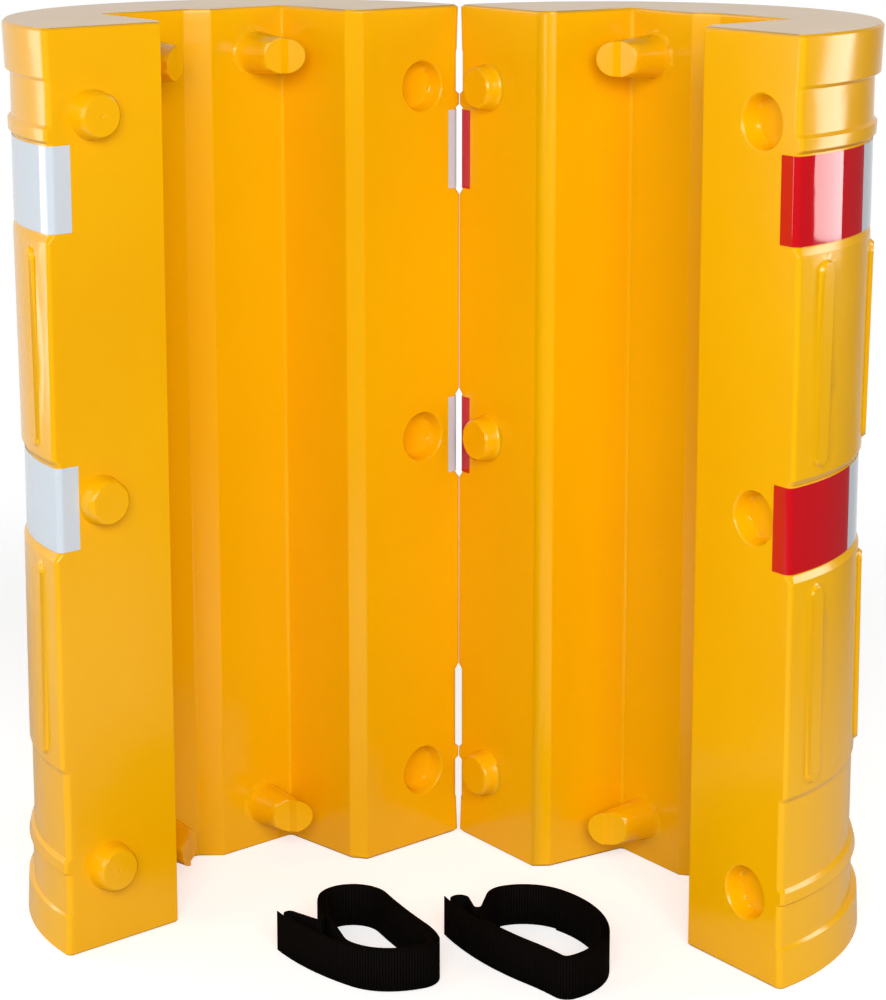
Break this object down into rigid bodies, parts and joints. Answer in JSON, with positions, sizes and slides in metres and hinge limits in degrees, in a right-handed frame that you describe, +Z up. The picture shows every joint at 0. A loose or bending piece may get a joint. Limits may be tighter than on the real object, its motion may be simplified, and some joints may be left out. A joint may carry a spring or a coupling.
{
  "type": "column protector",
  "caption": "Two hollow moulded half shells with reflective tape that close round a column on pegs and are held by webbing straps; the halves stand open.",
  "frame": {"origin": "the left half's column axis on the floor", "axes": "+Z up, +X along the left half's mating face to the touching back edge, +Y into the left half"},
  "size_m": [0.9037, 0.9269, 1.1],
  "materials": {
    "yellow_plastic": "gloss",
    "red_tape": "gloss",
    "white_tape": "gloss",
    "webbing": "woven"
  },
  "bodies": {
    "left_half": {"left_shell": "yellow_plastic", "left_upper_tape_1": "white_tape", "left_upper_tape_2": "red_tape", "left_upper_tape_3": "white_tape", "left_upper_tape_4": "red_tape", "left_upper_tape_5": "white_tape", "left_middle_tape_1": "white_tape", "left_middle_tape_2": "red_tape", "left_middle_tape_3": "white_tape", "left_middle_tape_4": "red_tape", "left_middle_tape_5": "white_tape"},
    "right_half": {"right_shell": "yellow_plastic", "right_upper_tape_1": "red_tape", "right_upper_tape_2": "white_tape", "right_upper_tape_3": "red_tape", "right_upper_tape_4": "white_tape", "right_upper_tape_5": "red_tape", "right_middle_tape_1": "red_tape", "right_middle_tape_2": "white_tape", "right_middle_tape_3": "red_tape", "right_middle_tape_4": "white_tape", "right_middle_tape_5": "red_tape"},
    "left_strap": {"left_strap": "webbing"},
    "right_strap": {"right_strap": "webbing"}
  },
  "joints": [
    {"name": "right_half_slide", "type": "slide", "parent": "left_half", "child": "right_half", "axis": [0.9974, -0.0715, 0], "range_m": [0, 0.4]},
    {"name": "left_strap_lift", "type": "slide", "parent": "left_half", "child": "left_strap", "axis": [0, 0, 1], "range_m": [0, 0.9925]},
    {"name": "right_strap_lift", "type": "slide", "parent": "left_half", "child": "right_strap", "axis": [0, 0, 1], "range_m": [0, 0.049]}
  ]
}
